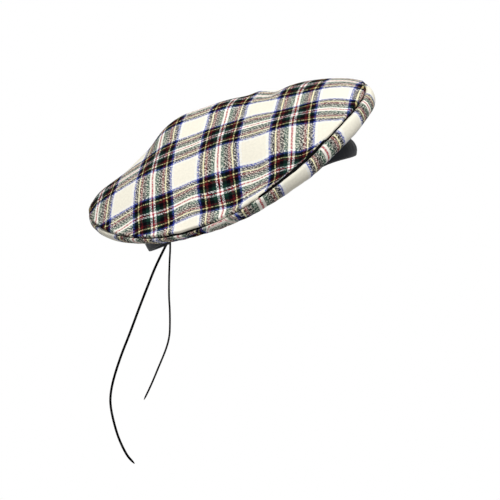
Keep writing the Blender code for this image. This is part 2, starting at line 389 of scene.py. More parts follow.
def extrude_ring(mesh, ring, places):
    """A further ring of vertices beside the given one, at the places."""
    edges = [mesh.edges.get(pair) for pair in zip(ring, ring[1:] + ring[:1])]
    made = bmesh.ops.extrude_edge_only(mesh, edges=edges)["geom"]
    new = {item for item in made if isinstance(item, bmesh.types.BMVert)}
    ends = [[edge.other_vert(vertex) for edge in vertex.link_edges] for vertex in ring]
    ring = [next(end for end in group if end in new) for group in ends]
    for vertex, place in zip(ring, places):
        vertex.co = place
    return ring


def skin(sections):
    """A skin drawn out from a circle through closed sections of points."""
    mesh = bmesh.new()
    bmesh.ops.create_circle(mesh, cap_ends=False, radius=1, segments=len(sections[0]))
    ring = list(mesh.verts)
    for vertex, place in zip(ring, sections[0]):
        vertex.co = place
    rings = [ring]
    for section in sections[1:]:
        ring = extrude_ring(mesh, ring, section)
        rings.append(ring)
    return mesh, rings


def tube_sections(line, radii, sides):
    """Circles square to a line of points, without twist from one to the next."""
    ahead = np.gradient(line, axis=0)
    ahead /= np.linalg.norm(ahead, axis=1, keepdims=True)
    side = Vector((1, 0, 0)) if abs(ahead[0][0]) < 0.9 else Vector((0, 1, 0))
    turns = np.arange(sides) * 2 * math.pi / sides
    sections = []
    for place, forward, radius in zip(line, ahead, radii):
        forward = Vector(forward)
        side = (side - side.dot(forward) * forward).normalized()
        other = forward.cross(side)
        radius = float(radius)
        sections.append([Vector(place) + radius * (math.cos(a) * side + math.sin(a) * other)
                         for a in turns])
    return sections


# ---------- shader groups ----------


def new_group(name, inputs, outputs):
    """A shader node group with its sockets: name, kind and starting value."""
    tree = bpy.data.node_groups.new(name, "ShaderNodeTree")
    for label, kind, value in inputs:
        socket = tree.interface.new_socket(label, in_out="INPUT", socket_type="NodeSocket" + kind)
        if value is not None:
            socket.default_value = value
    for label, kind in outputs:
        tree.interface.new_socket(label, in_out="OUTPUT", socket_type="NodeSocket" + kind)
    return tree, tree.nodes.new("NodeGroupInput"), tree.nodes.new("NodeGroupOutput")


def connect(tree, value, socket):
    if isinstance(value, bpy.types.NodeSocket):
        tree.links.new(value, socket)
    elif value is not None:
        socket.default_value = value


def math_node(tree, operation, a, b=None, c=None):
    node = tree.nodes.new("ShaderNodeMath")
    node.operation = operation
    for socket, value in zip(node.inputs, (a, b, c)):
        connect(tree, value, socket)
    return node.outputs[0]


def vector_node(tree, operation, a, b=None, scale=None):
    node = tree.nodes.new("ShaderNodeVectorMath")
    node.operation = operation
    connect(tree, a, node.inputs[0])
    if operation == "SCALE":
        connect(tree, scale, node.inputs["Scale"])
    else:
        connect(tree, b, node.inputs[1])
    return node.outputs[0]


def parts_node(tree, vector):
    """The three parts of a vector."""
    node = tree.nodes.new("ShaderNodeSeparateXYZ")
    tree.links.new(vector, node.inputs[0])
    return node.outputs


def noise_node(tree, place, scale, detail, roughness=0.5):
    node = tree.nodes.new("ShaderNodeTexNoise")
    connect(tree, place, node.inputs["Vector"])
    connect(tree, scale, node.inputs["Scale"])
    node.inputs["Detail"].default_value = detail
    node.inputs["Roughness"].default_value = roughness
    return node


def use_group(tree, group, **values):
    node = tree.nodes.new("ShaderNodeGroup")
    node.node_tree = group
    for name, value in values.items():
        connect(tree, value, node.inputs[name.replace("_", " ")])
    return node


def stretch(tree, value, low, high, new_low=0.0, new_high=1.0, smooth=True):
    """The value's range from low to high, stretched to the new one and cut off beyond it."""
    node = tree.nodes.new("ShaderNodeMapRange")
    node.interpolation_type = "SMOOTHSTEP" if smooth else "LINEAR"
    for name, given in (("Value", value), ("From Min", low), ("From Max", high),
                        ("To Min", new_low), ("To Max", new_high)):
        connect(tree, given, node.inputs[name])
    return node.outputs["Result"]


def mix_colour(tree, factor, a, b):
    node = tree.nodes.new("ShaderNodeMix")
    node.data_type = "RGBA"
    connect(tree, factor, node.inputs[0])
    connect(tree, a, node.inputs[6])
    connect(tree, b, node.inputs[7])
    return node.outputs[2]


# Yarn colours; the last value is 1 for the plump yarns that lie on top of their neighbours.
CREAM = (0.88, 0.84, 0.715, 0)
PALE_CREAM = (0.90, 0.90, 0.87, 0)
WHITE = (0.95, 0.93, 0.89, 1)
LINE_RED = (0.36, 0.020, 0.038, 1)
RED = (0.095, 0.008, 0.010, 0)
GREEN = (0.006, 0.030, 0.021, 0)
YELLOW = (0.85, 0.76, 0.36, 1)
BLACK = (0.0015, 0.0015, 0.003, 0)
NAVY = (0.002, 0.004, 0.045, 0)
BLUE = (0.06, 0.084, 0.38, 0)

# Share of the way from the middle of a group to the middle of the cream, and the yarn there.
STRIPES = [
    (0.0, LINE_RED),
    (0.026, WHITE),
    (0.088, GREEN),
    (0.198, BLACK),
    (0.308, RED),
    (0.376, BLACK),
    (0.405, YELLOW),
    (0.441, BLACK),
    (0.525, NAVY),
    (0.560, BLUE),
    (0.612, PALE_CREAM),
    (0.68, CREAM),
]
STRIPE_BLUR = 0.006


def make_stripe_group():
    """The yarn colour at a place across the stripes, counted in repeats."""
    tree, given, out = new_group(
        "tartan_stripes", [("Place", "Float", 0.0)], [("Colour", "Color"), ("Plump", "Float")]
    )
    shifted = math_node(tree, "FRACT", math_node(tree, "ADD", given.outputs["Place"], 0.5))
    centred = math_node(tree, "ABSOLUTE", math_node(tree, "SUBTRACT", shifted, 0.5))
    ramp = tree.nodes.new("ShaderNodeValToRGB")
    ramp.color_ramp.interpolation = "LINEAR"
    stops = ramp.color_ramp.elements
    stops[0].position, stops[0].color = 0.0, STRIPES[0][1]
    stops[1].position, stops[1].color = 1.0, STRIPES[-1][1]
    for (_, before), (start, after) in zip(STRIPES, STRIPES[1:]):
        stops.new(start - STRIPE_BLUR).color = before
        stops.new(start + STRIPE_BLUR).color = after
    tree.links.new(math_node(tree, "MULTIPLY", centred, 2.0), ramp.inputs[0])
    tree.links.new(ramp.outputs["Color"], out.inputs["Colour"])
    tree.links.new(ramp.outputs["Alpha"], out.inputs["Plump"])
    return tree


BLEND_POWER = 2.6  # how much darker than an even share a blend of light and dark yarns looks

# What each part of the weave adds towards the warp where two threads cross.
TWILL_LIFT = 0.20
THREAD_LIFT = 0.5
FLECK_LIFT = 2.2
WARP_PLUMP_LIFT = -0.01
WEFT_PLUMP_LIFT = 0.04
LIFT_TAKEN_OFF = 1.45
MASK_EDGES = (0.04, 0.96)

THREAD_PITCH = 0.8
SWAY = 1.6  # how far the threads wander, in millimetres
SWAY_SIZE = 22
FLECKS_PER_MM = 0.85
SLUBS_PER_MM = 0.45
TWILL_THREADS = 4  # threads in one step of the twill


def raised(tree, colour, power):
    """The colour with each of its parts to the power."""
    node = tree.nodes.new("ShaderNodeGamma")
    tree.links.new(colour, node.inputs["Color"])
    node.inputs["Gamma"].default_value = power
    return node.outputs[0]


def make_cloth_group(stripes):
    """Brushed cotton twill: warp and weft of the tartan showing through each other."""
    tree, given, out = new_group(
        "tartan_twill",
        [
            ("Place", "Vector", None),
            ("Repeat", "Float", REPEAT),
            ("Thread", "Float", THREAD_PITCH),
            ("Warp share", "Float", CROWN_WARP_SHARE),
        ],
        [("Colour", "Color"), ("Height", "Float"), ("Nap", "Float")],
    )
    place = given.outputs["Place"]
    sway = noise_node(tree, vector_node(tree, "SCALE", place, scale=1 / SWAY_SIZE), 1.0, 1.0)
    offset = vector_node(tree, "SUBTRACT", sway.outputs["Color"], (0.5, 0.5, 0.5))
    swayed = vector_node(tree, "ADD", place, vector_node(tree, "SCALE", offset, scale=SWAY))
    colours = []
    plump = []
    for part in parts_node(tree, swayed)[:2]:
        repeats = math_node(tree, "DIVIDE", part, given.outputs["Repeat"])
        stripe = use_group(tree, stripes, Place=repeats)
        colours.append(raised(tree, stripe.outputs["Colour"], 1 / BLEND_POWER))
        plump.append(stripe.outputs["Plump"])
    threads = vector_node(tree, "SCALE", swayed,
                          scale=math_node(tree, "DIVIDE", 1.0, given.outputs["Thread"]))
    crossing = vector_node(tree, "FLOOR", threads)
    numbers = parts_node(tree, crossing)
    diagonal = math_node(tree, "ADD", numbers[0], numbers[1])
    step = math_node(tree, "FLOORED_MODULO", diagonal, TWILL_THREADS)
    twill = math_node(tree, "LESS_THAN", step, 1.5)
    chance = tree.nodes.new("ShaderNodeTexWhiteNoise")
    chance.noise_dimensions = "2D"
    tree.links.new(crossing, chance.inputs["Vector"])
    fleck = noise_node(tree, place, FLECKS_PER_MM, 1.0, 0.5).outputs["Fac"]
    mask = math_node(tree, "MULTIPLY_ADD", twill, TWILL_LIFT, given.outputs["Warp share"])
    mask = math_node(tree, "MULTIPLY_ADD", chance.outputs["Value"], THREAD_LIFT, mask)
    mask = math_node(tree, "MULTIPLY_ADD", fleck, FLECK_LIFT, mask)
    mask = math_node(tree, "SUBTRACT", mask, LIFT_TAKEN_OFF)
    mask = math_node(tree, "MULTIPLY_ADD", plump[0], WARP_PLUMP_LIFT, mask)
    mask = math_node(tree, "MULTIPLY_ADD", plump[1], WEFT_PLUMP_LIFT, mask)
    mask = stretch(tree, mask, *MASK_EDGES, smooth=False)
    woven = raised(tree, mix_colour(tree, mask, colours[1], colours[0]), BLEND_POWER)
    slub = noise_node(tree, swayed, SLUBS_PER_MM, 2.0, 0.6).outputs["Fac"]
    shade = stretch(tree, slub, 0.3, 0.7, 0.92, 1.0, smooth=False)
    tree.links.new(vector_node(tree, "SCALE", woven, scale=shade), out.inputs["Colour"])
    tree.links.new(math_node(tree, "MULTIPLY_ADD", mask, 0.4, slub), out.inputs["Height"])
    tree.links.new(slub, out.inputs["Nap"])
    return tree


def make_leather_group():
    """Fine pebbled grain with shallow creases, for a thin soft leather."""
    tree, given, out = new_group(
        "leather_grain",
        [("Place", "Vector", None), ("Grain", "Float", 1.1)],
        [("Height", "Float"), ("Wear", "Float")],
    )
    place = given.outputs["Place"]
    scale = math_node(tree, "DIVIDE", 1.0, given.outputs["Grain"])
    cells = tree.nodes.new("ShaderNodeTexVoronoi")
    cells.feature = "DISTANCE_TO_EDGE"
    tree.links.new(place, cells.inputs["Vector"])
    tree.links.new(scale, cells.inputs["Scale"])
    pebbles = stretch(tree, cells.outputs["Distance"], 0.0, 0.25)
    creases = noise_node(tree, vector_node(tree, "MULTIPLY", place, (0.30, 0.30, 0.08)), 1.0, 3.0)
    height = math_node(tree, "MULTIPLY_ADD", creases.outputs["Fac"], 1.6, pebbles)
    tree.links.new(height, out.inputs["Height"])
    wear = noise_node(tree, vector_node(tree, "SCALE", place, scale=0.12), 1.0, 3.0)
    tree.links.new(wear.outputs["Fac"], out.inputs["Wear"])
    return tree


def bare_material(name, roughness, specular):
    material = bpy.data.materials.new(name)
    material.use_nodes = True
    shader = material.node_tree.nodes["Principled BSDF"]
    shader.inputs["Metallic"].default_value = 0
    shader.inputs["Roughness"].default_value = roughness
    shader.inputs["Specular IOR Level"].default_value = specular
    return material, material.node_tree, shader


def bumped(tree, shader, height, strength, distance):
    node = tree.nodes.new("ShaderNodeBump")
    node.inputs["Strength"].default_value = strength
    node.inputs["Distance"].default_value = distance
    tree.links.new(height, node.inputs["Height"])
    tree.links.new(node.outputs["Normal"], shader.inputs["Normal"])


def make_cloth_material(name, group, span, middle, warp_share):
    """middle is what the map's place 0.5, 0.5 stands for, in millimetres of cloth."""
    material, tree, shader = bare_material(name, roughness=0.88, specular=0.02)
    spot = tree.nodes.new("ShaderNodeUVMap")
    spot.uv_map = "cloth"
    spread = tree.nodes.new("ShaderNodeMapping")
    spread.inputs["Scale"].default_value = (span, span, 1)
    spread.inputs["Location"].default_value = (middle[0] - 0.5 * span, middle[1] - 0.5 * span, 0)
    tree.links.new(spot.outputs["UV"], spread.inputs["Vector"])
    weave = use_group(tree, group, Place=spread.outputs["Vector"], Warp_share=warp_share)
    tree.links.new(weave.outputs["Colour"], shader.inputs["Base Color"])
    rough = stretch(tree, weave.outputs["Nap"], 0.3, 0.7, 0.82, 0.95, smooth=False)
    tree.links.new(rough, shader.inputs["Roughness"])
    shader.inputs["Sheen Weight"].default_value = 0.005
    shader.inputs["Sheen Roughness"].default_value = 0.6
    bumped(tree, shader, weave.outputs["Height"], strength=0.5, distance=0.35 * MM)
    return material


def make_leather_material(group):
    material, tree, shader = bare_material("black_leather", roughness=0.42, specular=0.28)
    where = tree.nodes.new("ShaderNodeTexCoord")
    place = vector_node(tree, "SCALE", where.outputs["Object"], scale=1 / MM)
    grain = use_group(tree, group, Place=place)
    colour = mix_colour(
        tree,
        stretch(tree, grain.outputs["Wear"], 0.35, 0.7),
        (0.002, 0.004, 0.009, 1),
        (0.005, 0.008, 0.016, 1),
    )
    tree.links.new(colour, shader.inputs["Base Color"])
    rough = stretch(tree, grain.outputs["Wear"], 0.3, 0.7, 0.36, 0.5, smooth=False)
    tree.links.new(rough, shader.inputs["Roughness"])
    bumped(tree, shader, grain.outputs["Height"], strength=0.35, distance=0.15 * MM)
    return material


STRANDS_ALONG = 150.0  # in the cord's whole map
STRANDS_ROUND = 3.0


def make_cord_material():
    """Waxed black cord, its strands laid in a slope round it."""
    material, tree, shader = bare_material("waxed_cord", roughness=0.8, specular=0.04)
    spot = tree.nodes.new("ShaderNodeUVMap")
    spot.uv_map = "cloth"
    parts = parts_node(tree, spot.outputs["UV"])
    along = math_node(tree, "MULTIPLY", parts[1], STRANDS_ALONG)
    lay = math_node(tree, "MULTIPLY_ADD", parts[0], STRANDS_ROUND, along)
    strand = math_node(tree, "PINGPONG", lay, 0.5)
    colour = mix_colour(
        tree, stretch(tree, strand, 0.0, 0.5), (0.0015, 0.0015, 0.002, 1), (0.004, 0.004, 0.005, 1)
    )
    tree.links.new(colour, shader.inputs["Base Color"])
    fuzz = noise_node(tree, spot.outputs["UV"], 90.0, 2.0).outputs["Fac"]
    tree.links.new(stretch(tree, fuzz, 0.3, 0.7, 0.74, 0.86), shader.inputs["Roughness"])
    bumped(tree, shader, strand, strength=0.3, distance=0.2 * MM)
    return material


# Black thread for the stitches; the same material colours the black sheet of painted shade in the
# seam.
def make_thread_material():
    material, tree, shader = bare_material("black_thread_and_seam_shade", roughness=0.8, specular=0.06)
    where = tree.nodes.new("ShaderNodeTexCoord")
    twist = noise_node(tree, where.outputs["Object"], 2500.0, 2.0).outputs["Fac"]
    colour = mix_colour(tree, twist, (0.002, 0.002, 0.003, 1), (0.005, 0.005, 0.006, 1))
    tree.links.new(colour, shader.inputs["Base Color"])
    bumped(tree, shader, twist, strength=0.3, distance=0.1 * MM)
    return material


# ---------- camera ----------


VIEW_TURN = math.radians(8)
VIEW_RISE = math.radians(14.5)
VIEW_DISTANCE = 1.8
VIEW_LENS = 151.63  # for a sensor 36 wide
VIEW_AIM = (-1.85, -39.2)  # right and up from the origin, in millimetres


def make_camera():
    """The view of the photograph, from the wearer's right, a little in front and above."""
    level = math.cos(VIEW_RISE)
    ahead = Vector((math.cos(VIEW_TURN) * level, math.sin(VIEW_TURN) * level,
                    -math.sin(VIEW_RISE)))
    right = Vector((math.sin(VIEW_TURN), -math.cos(VIEW_TURN), 0))
    up = right.cross(ahead)
    aim = (right * VIEW_AIM[0] + up * VIEW_AIM[1]) * MM
    data = bpy.data.cameras.new("camera")
    data.sensor_width = 36
    data.lens = VIEW_LENS
    data.clip_end = 50
    camera = placed("camera", data)
    place = Matrix((right, up, -ahead)).transposed().to_4x4()
    place.translation = aim - ahead * VIEW_DISTANCE
    camera.matrix_world = place
    bpy.context.scene.camera = camera


# ---------- cords ----------


def make_cord(name, route, diameter, material):
    line, length = even_line(route, CORD_SPACING)
    radii = np.full(len(line), 0.5 * diameter)
    radii[-len(CORD_TIP):] *= CORD_TIP
    sections = tube_sections(line, radii, CORD_SIDES)
    mesh, rings = skin(sections)
    for ring in (rings[0], rings[-1]):
        mesh.faces.new(ring)
    bmesh.ops.scale(mesh, vec=(MM, MM, MM), verts=mesh.verts)
    bmesh.ops.recalc_face_normals(mesh, faces=mesh.faces)
    mesh.verts.index_update()
    places = np.zeros((len(mesh.verts), 2))
    for n, ring in enumerate(rings):
        for side, vertex in enumerate(ring):
            walked = n * length / (len(rings) - 1)
            places[vertex.index] = (side / CORD_SIDES, walked / CORD_SPAN)
    cord = finished(name, mesh, material)
    map_cloth(cord, places, turn=1)
    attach(cord, "root")
    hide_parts(name.replace("tie_", ""))


# ---------- crown ----------


def crown_drop(reach, azimuth):
    names = ("inner_drop", "middle_drop", "seam_drop")
    table = np.stack([column(CROWN_SECTIONS, name) for name in names], axis=1)
    harmonics = np.fft.rfft(table, axis=0) / len(table)
    drop = np.zeros_like(reach)
    for n, (harmonic, lowest) in enumerate(zip(harmonics, LOWEST_POWER)):
        powers = lowest + np.arange(len(STATIONS))
        factors = np.linalg.solve(STATIONS[:, None] ** powers, harmonic)
        curve = sum(factor * reach**power for factor, power in zip(factors, powers))
        share = 1 if n in (0, len(harmonics) - 1) else 2
        drop = drop + share * (curve * np.exp(1j * n * azimuth)).real
    return drop


def fold_depth(left, front):
    depth = np.zeros_like(left)
    for fold in CROWN_FOLDS:
        heading = math.radians(fold.heading)
        from_left = left - fold.left
        from_front = front - fold.front
        along = from_left * math.sin(heading) + from_front * math.cos(heading)
        across = from_left * math.cos(heading) - from_front * math.sin(heading)
        fade = (along / fold.length) ** 2 + (across / fold.width) ** 2
        depth = depth + fold.depth * np.exp(-fade)
    return depth


def crown_point(reach, azimuth):
    radius = reach * periodic(column(CROWN_SECTIONS, "radius"), azimuth)
    left = CROWN_LEFT + radius * np.sin(azimuth)
    front = CROWN_FRONT + radius * np.cos(azimuth)
    drop = crown_drop(reach, azimuth) + fold_depth(left, front)
    return hat_point(left, front, CROWN_HEIGHT - drop)


CROWN_CELLS = 160  # the sheet's squares from side to side
PUCKERS = 92  # round the seam
PUCKER_RISE = 0.5
PUCKER_FADE = 8  # millimetres in from the seam
SWELL_EDGE = 14  # the cloth's slow swells reach this near to the seam at full height
GAPE_RISE = 0.8  # how far the crown's edge lifts where the seam stands open
RIM_GRADING = 0.5  # how much narrower the squares get towards the rim

# The crown's edge, rolled over and in to the seam: outward and up from the rim, the share of
# the cloth's own rise over the last stretch that is still left there, and the cloth's length
# from the start of the stretch.
EDGE_STRETCH = 3.0
EdgeRow = namedtuple("EdgeRow", "outward up rise walked")
EDGE_ROLL = [
    EdgeRow(-2.2, -0.15, 0.95, 0.9),
    EdgeRow(-1.5, -0.1, 0.6, 1.9),
    EdgeRow(-1.2, 0.0, 0.25, 2.6),
    EdgeRow(-1.4, -0.3, 0.0, 3.4),
    EdgeRow(-2.4, -0.6, 0.0, 4.4),
    EdgeRow(-4.4, -0.75, 0.0, 6.4),
]


def outward_at(azimuth):
    return hat_point(np.sin(azimuth), np.cos(azimuth), 0 * azimuth)


# How far the seam stands open, by the azimuth, and how far down its own length the strip's
# pattern has slipped there, in millimetres.
SeamMark = namedtuple("SeamMark", "azimuth gape slip")
SEAM_MARKS = [
    SeamMark(186, 0.1, 0),
    SeamMark(195, 1.2, 0),
    SeamMark(208, 1.2, 0),
    SeamMark(216, 0.2, 0),
    SeamMark(236, 0.2, 0),
    SeamMark(242, 0.6, 3),
    SeamMark(250, 1.3, 6),
    SeamMark(258, 1.3, 12),
    SeamMark(264, 0.3, 34),
    SeamMark(271, 0.1, 35),
    SeamMark(277, 0.2, 9),
    SeamMark(284, 0.1, 0),
    SeamMark(291, 1.0, 0),
    SeamMark(300, 1.3, 0),
    SeamMark(311, 1.3, 0),
    SeamMark(322, 1.0, 0),
    SeamMark(345, 0.9, 0),
    SeamMark(365, 0.1, 0),
]


def at_seam_mark(azimuth, name):
    degrees = np.degrees(azimuth) % 360
    degrees = np.where(degrees < SEAM_MARKS[0].azimuth - 180, degrees + 360, degrees)
    return np.interp(degrees, column(SEAM_MARKS, "azimuth"), column(SEAM_MARKS, name))


def seam_gape(azimuth):
    """How far the seam stands open, about 1 where the black sheet of painted shade in the seam
    shows best.
    """
    return at_seam_mark(azimuth, "gape")


def seam_pucker(azimuth):
    fine = uneven_round(azimuth, count=PUCKERS, seed=1)
    return fine + 0.5 * uneven_round(azimuth, count=34, seed=2)


def make_crown(material):
    """A round sheet from a square grid whose rings of squares become rings of the crown."""
    mesh = bmesh.new()
    bmesh.ops.create_grid(mesh, x_segments=CROWN_CELLS, y_segments=CROWN_CELLS, size=1)
    grid = np.array([vertex.co[:2] for vertex in mesh.verts])
    x, y = grid.T
    ring = np.maximum(abs(x), abs(y))
    left, front = square_to_round(x, y)
    azimuth = np.arctan2(left, front)
    rolls = len(EDGE_ROLL)
    count = CROWN_CELLS // 2
    step = np.rint(ring * count)
    share = np.minimum(step / (count - rolls), 1)
    radius = periodic(column(CROWN_SECTIONS, "radius"), azimuth)
    reach = (share + RIM_GRADING * share * (1 - share)) * (1 - EDGE_STRETCH / radius)
    points = crown_point(reach, azimuth)
    rim = crown_point(np.ones_like(azimuth), azimuth)
    past = np.clip(step - (count - rolls), 0, rolls).astype(int)
    outward, up, rise, walked = np.array([(-EDGE_STRETCH, 0, 1, 0), *EDGE_ROLL])[past].T
    edge = rim + outward[:, None] * outward_at(azimuth)
    edge[:, 2] += up + rise * (points - rim)[:, 2] + GAPE_RISE * seam_gape(azimuth) * (1 - rise)
    points = np.where(past[:, None] > 0, edge, points)
    from_rim = (1 - reach) * radius
    fade = np.exp(-(from_rim - EDGE_STRETCH) / PUCKER_FADE)
    pucker = PUCKER_RISE * seam_pucker(azimuth) * fade
    swell = 0.8 * uneven(points, size=42, seed=3) + 0.28 * uneven(points, size=17, seed=4)
    points[:, 2] += pucker + swell * smooth_step(EDGE_STRETCH, SWELL_EDGE, from_rim)
    for vertex, place in zip(mesh.verts, worn(points)):
        vertex.co = place
    bmesh.ops.recalc_face_normals(mesh, faces=mesh.faces)
    crown = finished("crown_cloth", mesh, material)
    map_cloth(crown, crown_cloth_places(reach, azimuth, walked) / CROWN_SPAN + 0.5)
    wall(crown, CLOTH_THICKNESS * MM)
    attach(crown, "root")
    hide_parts("crown_panel")


def square_to_round(x, y):
    """The left and front parts of the direction that a place of a square grid stands for."""
    lying = abs(x) >= abs(y)
    longer = np.where(lying, x, y)
    shorter = np.where(lying, y, x)
    safe = np.where(longer == 0, 1, longer)
    angle = 0.25 * math.pi * shorter / safe
    main, other = np.sign(safe) * np.cos(angle), np.sign(safe) * np.sin(angle)
    return np.where(lying, main, other), np.where(lying, other, main)


RAYS = 180  # directions in which the crown's cloth is measured, and steps along each
RAY_STEPS = 100


def crown_cloth_places(reach, azimuth, past_edge):
    """Each vertex's place on the flat cloth, in millimetres from a crossing of two groups: as
    far from the middle as the cloth runs along its own direction."""
    angles = np.arange(RAYS) * 2 * math.pi / RAYS
    shares = np.linspace(0, 1, RAY_STEPS + 1)
    lines = crown_point(*np.meshgrid(shares, angles, indexing="ij"))
    steps = np.linalg.norm(np.diff(lines, axis=0), axis=-1)
    walked = np.concatenate([np.zeros((1, RAYS)), np.cumsum(steps, axis=0)])
    ray_place = (azimuth % (2 * math.pi)) / (2 * math.pi) * RAYS
    ray = np.floor(ray_place).astype(int) % RAYS
    next_ray = (ray + 1) % RAYS
    part = ray_place - np.floor(ray_place)
    row_place = reach * RAY_STEPS
    row = np.minimum(np.floor(row_place).astype(int), RAY_STEPS - 1)
    rise = row_place - row
    near = walked[row, ray] * (1 - rise) + walked[row + 1, ray] * rise
    far = walked[row, next_ray] * (1 - rise) + walked[row + 1, next_ray] * rise
    length = near * (1 - part) + far * part + past_edge
    places = np.stack([CROWN_ALONG + length * np.cos(azimuth + CROWN_TURN),
                       CROWN_ACROSS + length * np.sin(azimuth + CROWN_TURN)], axis=-1)
    x, y, _ = crown_point(reach, azimuth).T
    for pull in CLOTH_PULLS:
        apart = np.hypot(x - pull.left, -y - pull.front)
        fade = np.exp(-((apart / pull.reach) ** 2))
        places += fade[:, None] * (pull.along, pull.across)
    return places


# ---------- side panel ----------

SIDE_SEGMENTS = 640

# Over the strip's lip: outward and up from the rim, how far the place drops where the seam
# stands open, and the share of the face's lean that it takes.
LipPlace = namedtuple("LipPlace", "outward up opening leaning")
LIP_PLACES = [
    LipPlace(-5.2, -2.3, 0, 0),
    LipPlace(-2.0, -2.0, 0, 0),
    LipPlace(-0.2, -1.5, 0.5, 0),
    LipPlace(0.9, -1.5, 0.5, 0),
    LipPlace(1.9, -2.9, 0, 0.1),
]
ROWS_BETWEEN = (3, 4, 2, 3, 6, 6, 4, 8, 8, 4, 2)  # from the lip's start to the headband
LIP_ROW = 9
FACE_ROW = 14

# The rows over which each thing comes in or fades out.
SEAM_PUCKERS_END = (8, 18)
FACE_START = (8, 14)
FACE_END = (26, 34)
GATHERS_START = (24, 42)
GATHERS_END = (43, 49)

GATHERS = 64
GATHER_DEPTH = 2.3
GATHER_LOSS = 0.68  # share of the gathers' depth that is gone at the headband
SLIP_FADE = (12, 30)  # millimetres below the lip over which the slipped pattern comes right


def band_point(outward, up, azimuth):
    left = (BAND_HALF_WIDTH + outward) * np.sin(azimuth)
    front = (BAND_HALF_LENGTH + outward) * np.cos(azimuth)
    rise = (bump(azimuth, RIDE_UP_AZIMUTH, RIDE_UP_REACH)
            + bump(azimuth, -RIDE_UP_AZIMUTH, RIDE_UP_REACH))
    return hat_point(left, front, up + RIDE_UP * rise)


def side_sections(azimuth):
    """The outside of the side panel, from inside the seam over its lip, down the face, round
    the fold and in to the headband."""
    face = periodic(column(SIDE_SECTIONS, "face"), azimuth)[:, None]
    swell = periodic(column(SIDE_SECTIONS, "swell"), azimuth)[:, None]
    lean = periodic(column(SIDE_SECTIONS, "lean"), azimuth)[:, None]
    outward = outward_at(azimuth)
    upward = np.array([0, 0, 1.0])
    rim = crown_point(np.ones_like(azimuth), azimuth)
    seam = rim - SEAM_DROP * upward
    gape = seam_gape(azimuth)[:, None]
    lip = [rim + (place.outward + place.leaning * lean) * outward
           + (place.up - place.opening * gape) * upward for place in LIP_PLACES]
    edge = rolled(band_point(-0.5 * BAND_THICKNESS, BAND_HEIGHT - 1.5, azimuth))
    mouth = rolled(band_point(-0.4 * BAND_THICKNESS, BAND_HEIGHT + 0.6, azimuth))
    throat = rolled(band_point(THROAT_OUT, BAND_HEIGHT + THROAT_RISE, azimuth))
    fold = seam + (lean - FOLD_ROUND) * outward - face * upward
    knots = np.stack([
        *lip,
        seam + (0.5 * lean + swell) * outward - 0.45 * face * upward,
        seam + (lean + 0.4 * swell) * outward - (face - 0.8 * FOLD_ROUND) * upward,
        fold,
        fold + 0.45 * (throat - fold) - 0.4 * FOLD_ROUND * upward,
        throat,
        mouth,
        edge,
    ])
    return flowing(knots, ROWS_BETWEEN)


def gather_side(sections, azimuth):
    """Puckers at the seam, a soft unevenness of the face, and gathers that deepen from the
    fold to the headband."""
    along = np.roll(sections, -1, axis=1) - np.roll(sections, 1, axis=1)
    down = np.gradient(sections, axis=0)
    normals = np.cross(along, down)
    normals /= np.linalg.norm(normals, axis=-1, keepdims=True)
    if (normals[FACE_ROW] * outward_at(azimuth)).sum() < 0:
        normals = -normals
    row = np.arange(len(sections))[:, None]
    phase = GATHERS * azimuth + 2.2 * uneven_round(azimuth, count=22, seed=5)
    phase = phase + 1.5 * uneven_round(azimuth, count=9, seed=6)
    ridge = 1.4 * np.abs(np.sin(0.5 * phase)) ** 0.8 - 0.85
    strength = 0.75 + 0.5 * uneven_round(azimuth, count=26, seed=7)
    at_seam = 1 - smooth_step(*SEAM_PUCKERS_END, row)
    on_face = smooth_step(*FACE_START, row) * (1 - smooth_step(*FACE_END, row))
    lost = GATHER_LOSS * smooth_step(*GATHERS_END, row)
    in_throat = smooth_step(*GATHERS_START, row) * (1 - lost)
    swell = (0.5 * uneven_round(azimuth, count=30, seed=8)
             + 0.6 * uneven_round(azimuth, count=11, seed=9))
    move = on_face * swell + GATHER_DEPTH * in_throat * ridge * strength
    gathered = sections + move[..., None] * normals
    gathered[..., 2] += PUCKER_RISE * at_seam * seam_pucker(azimuth)
    return gathered


def make_side(material):
    start = math.radians(STRIP_MARKS[0].azimuth)
    azimuth = start + np.arange(SIDE_SEGMENTS) * 2 * math.pi / SIDE_SEGMENTS
    sections = side_sections(azimuth)
    steps = np.linalg.norm(np.diff(sections, axis=0), axis=-1)
    depth = np.concatenate([np.zeros((1, SIDE_SEGMENTS)), np.cumsum(steps, axis=0)])
    depth = depth - depth[LIP_ROW]
    gathered = gather_side(sections, azimuth)
    mesh, rings = skin(worn(gathered))
    mesh.verts.index_update()
    order = np.array([[vertex.index for vertex in ring] for ring in rings])
    places = np.empty((len(mesh.verts), 2))
    turns = np.interp(np.degrees(azimuth), column(STRIP_MARKS, "azimuth"),
                      column(STRIP_MARKS, "repeats"))
    slip = at_seam_mark(azimuth, "slip") * (1 - smooth_step(*SLIP_FADE, depth))
    places[order, 0] = turns * REPEAT / STRIP_SPAN + STRIP_CROSSING[0]
    places[order, 1] = (depth - STRIP_LINE_DEPTH + slip) / STRIP_SPAN + STRIP_CROSSING[1]
    face_outwards(mesh, rings[FACE_ROW][0], outward_at(azimuth)[0])
    side = finished("side_cloth", mesh, material)
    repeats = STRIP_MARKS[-1].repeats - STRIP_MARKS[0].repeats
    map_cloth(side, places, turn=repeats * REPEAT / STRIP_SPAN)
    wall(side, CLOTH_THICKNESS * MM)
    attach(side, "root")
    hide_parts("side_panel")


# ---------- painted seam shade ----

# Outward and up from the rim, and how far the place rises where the seam stands open.
SeamShadePlace = namedtuple("SeamShadePlace", "outward up opening")
SEAM_SHADE_PLACES = [
    SeamShadePlace(-2.8, -0.95, 0.2),
    SeamShadePlace(-1.5, -0.6, 0.8),
    SeamShadePlace(-0.9, -0.75, 0.6),
    SeamShadePlace(-0.85, -1.3, -0.3),
    SeamShadePlace(-1.5, -1.6, -0.5),
]
SEAM_SHADE_THICKNESS = 0.35


